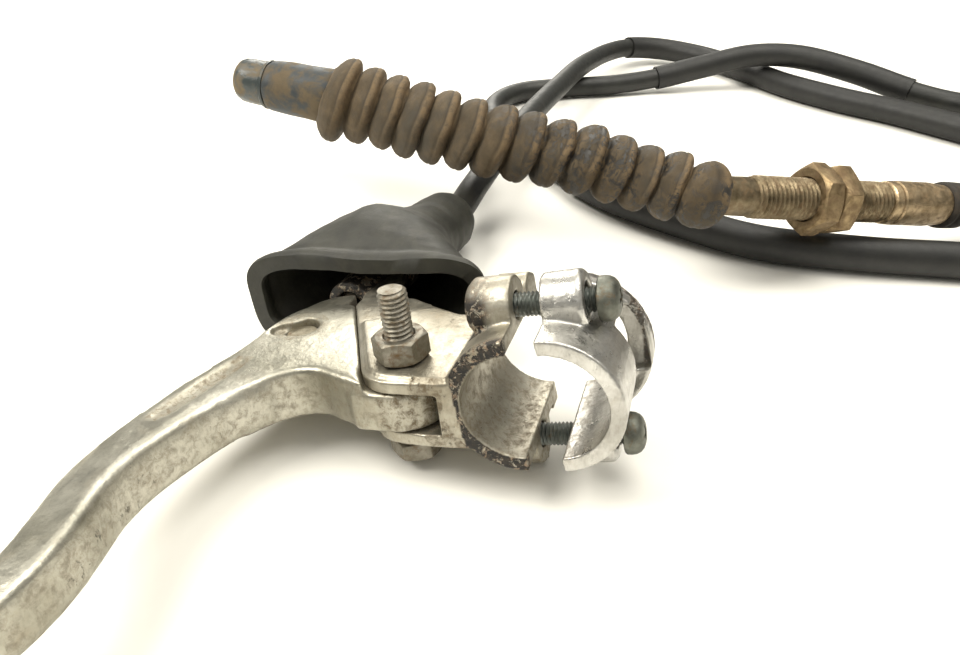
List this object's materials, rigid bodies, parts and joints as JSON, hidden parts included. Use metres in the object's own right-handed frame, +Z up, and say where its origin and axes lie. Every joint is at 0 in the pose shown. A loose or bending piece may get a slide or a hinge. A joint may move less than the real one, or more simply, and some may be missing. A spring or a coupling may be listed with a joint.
{
  "type": "clutch lever",
  "caption": "Cast motorcycle clutch lever on a split handlebar perch, with rubber boot, screw adjuster and sleeved cable ending in a threaded adjuster and bellows.",
  "frame": {"origin": "centre of the lever, perch and boot in plan, at the table they lie on", "axes": "+X from the lever's ball end towards the cable, along the handlebar; +Y from the bar towards the pivot; +Z up from the table"},
  "size_m": [0.4801, 0.327, 0.0453],
  "materials": {
    "cast_aluminium_lever": "worn satin casting with dirt",
    "cast_aluminium_perch": "bare casting with worn black paint at the clamp edges",
    "cast_aluminium_cap": "bright satin casting",
    "zinc_steel": "dull zinc plate with dirt",
    "bronze": "plain bearing bronze",
    "brass": "dull brass",
    "boot_rubber": "matt black rubber",
    "casing_black": "smooth black plastic cover",
    "sleeve_black": "matt black vinyl sleeve",
    "yellow_zinc": "dirty yellow zinc plate",
    "gaiter_rubber": "cracked black rubber under brown dirt",
    "grey_steel": "grey steel"
  },
  "bodies": {
    "perch": {"perch_bracket": "cast_aluminium_perch", "pivot_bolt": "zinc_steel", "pivot_washer": "zinc_steel", "pivot_nut": "zinc_steel", "rubber_boot": "boot_rubber", "casing_ferrule": "zinc_steel", "casing_lever_side": "casing_black", "sleeve_long": "sleeve_black", "casing_turn": "casing_black", "sleeve_short": "sleeve_black", "casing_engine_side": "casing_black", "casing_cap": "casing_black", "crimp_ferrule": "yellow_zinc", "engine_adjuster": "yellow_zinc", "cable_bellows": "gaiter_rubber"},
    "lever": {"lever_blade": "cast_aluminium_lever", "pivot_bush": "bronze"},
    "nipple": {"cable_nipple": "brass", "inner_wire": "zinc_steel"},
    "cap": {"clamp_cap": "cast_aluminium_cap"},
    "screw_upper": {"clamp_screw_upper": "zinc_steel"},
    "screw_lower": {"clamp_screw_lower": "zinc_steel"},
    "adjuster": {"cable_adjuster": "zinc_steel"},
    "lock_ring": {"adjuster_lock_ring": "zinc_steel"},
    "nut_front": {"jam_nut_front": "yellow_zinc"},
    "nut_rear": {"jam_nut_rear": "yellow_zinc"},
    "wire_end": {"engine_wire": "grey_steel", "bellows_sleeve": "gaiter_rubber", "engine_end_fitting": "grey_steel"}
  },
  "joints": [
    {"name": "lever_pivot", "type": "hinge", "parent": "perch", "child": "lever", "pos_m": [0.02976, -0.00239, 0.01902], "axis": [0.0906, 0.1411, 0.9858], "range_deg": [0, 24]},
    {"name": "nipple_turn", "type": "hinge", "parent": "lever", "child": "nipple", "pos_m": [0.0422, 0.02753, 0.01237], "axis": [0.0906, 0.1411, 0.9858], "range_deg": [-28, 0]},
    {"name": "clamp_close", "type": "slide", "parent": "perch", "child": "cap", "axis": [-0.022, 0.9707, -0.2394], "range_m": [0, 0.0049]},
    {"name": "screw_upper_turn", "type": "hinge", "parent": "cap", "child": "screw_upper", "pos_m": [0.03773, -0.03848, 0.04018], "axis": [-0.022, 0.9707, -0.2394], "continuous": true},
    {"name": "screw_lower_turn", "type": "hinge", "parent": "cap", "child": "screw_lower", "pos_m": [0.03508, -0.04666, 0.01143], "axis": [-0.022, 0.9707, -0.2394], "continuous": true},
    {"name": "adjuster_turn", "type": "hinge", "parent": "perch", "child": "adjuster", "pos_m": [0.08191, 0.02294, 0.011], "axis": [0.9928, -0.1149, -0.0342], "continuous": true},
    {"name": "lock_ring_turn", "type": "hinge", "parent": "perch", "child": "lock_ring", "pos_m": [0.08191, 0.02294, 0.011], "axis": [0.9928, -0.1149, -0.0342], "continuous": true},
    {"name": "jam_nut_front_turn", "type": "hinge", "parent": "perch", "child": "nut_front", "pos_m": [0.11905, -0.06044, 0.02789], "axis": [0.5146, -0.8427, -0.1581], "continuous": true},
    {"name": "jam_nut_rear_turn", "type": "hinge", "parent": "perch", "child": "nut_rear", "pos_m": [0.11905, -0.06044, 0.02789], "axis": [0.5146, -0.8427, -0.1581], "continuous": true},
    {"name": "wire_pull", "type": "slide", "parent": "perch", "child": "wire_end", "axis": [-0.0196, -0.9958, -0.0898], "range_m": [0, 0.0142], "deforming": ["cable_bellows"]}
  ],
  "couplings": [
    {"joint": "nipple_turn", "follows": "lever_pivot", "ratio": -1.12},
    {"joint": "wire_pull", "follows": "lever_pivot", "m_per_rad": 0.0328}
  ]
}
